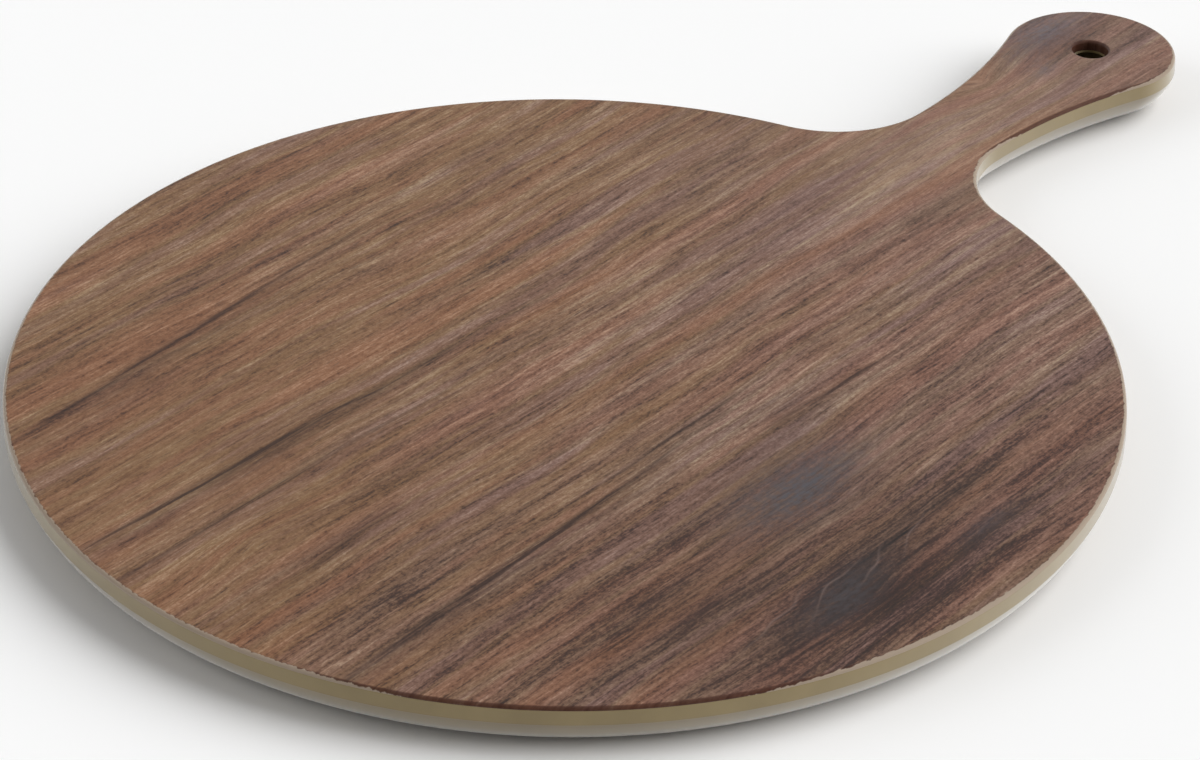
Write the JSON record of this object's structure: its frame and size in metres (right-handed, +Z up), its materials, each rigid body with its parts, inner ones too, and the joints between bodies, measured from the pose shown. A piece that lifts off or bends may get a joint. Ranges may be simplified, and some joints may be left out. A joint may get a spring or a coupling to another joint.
{
  "type": "round serving board with handle",
  "caption": "Round moulded melamine serving board with a waisted handle and hanging hole, a wood-grain top sheet over a cream hollow-backed body, standing on soft feet.",
  "frame": {"origin": "centre of the board's length and width, on the surface that its feet stand on", "axes": "+X along the handle towards its end, +Z up out of the serving face"},
  "size_m": [0.43, 0.305, 0.015],
  "materials": {
    "melamine": "cream melamine moulding with a satin gloss",
    "wood_print": "printed walnut grain under a clear satin glaze",
    "silicone": "matt soft silicone"
  },
  "bodies": {
    "root": {"base_moulding": "melamine", "wood_decor_sheet": "wood_print", "foot_1": "silicone", "foot_2": "silicone", "foot_3": "silicone", "foot_4": "silicone", "foot_5": "silicone", "foot_6": "silicone"}
  },
  "joints": []
}
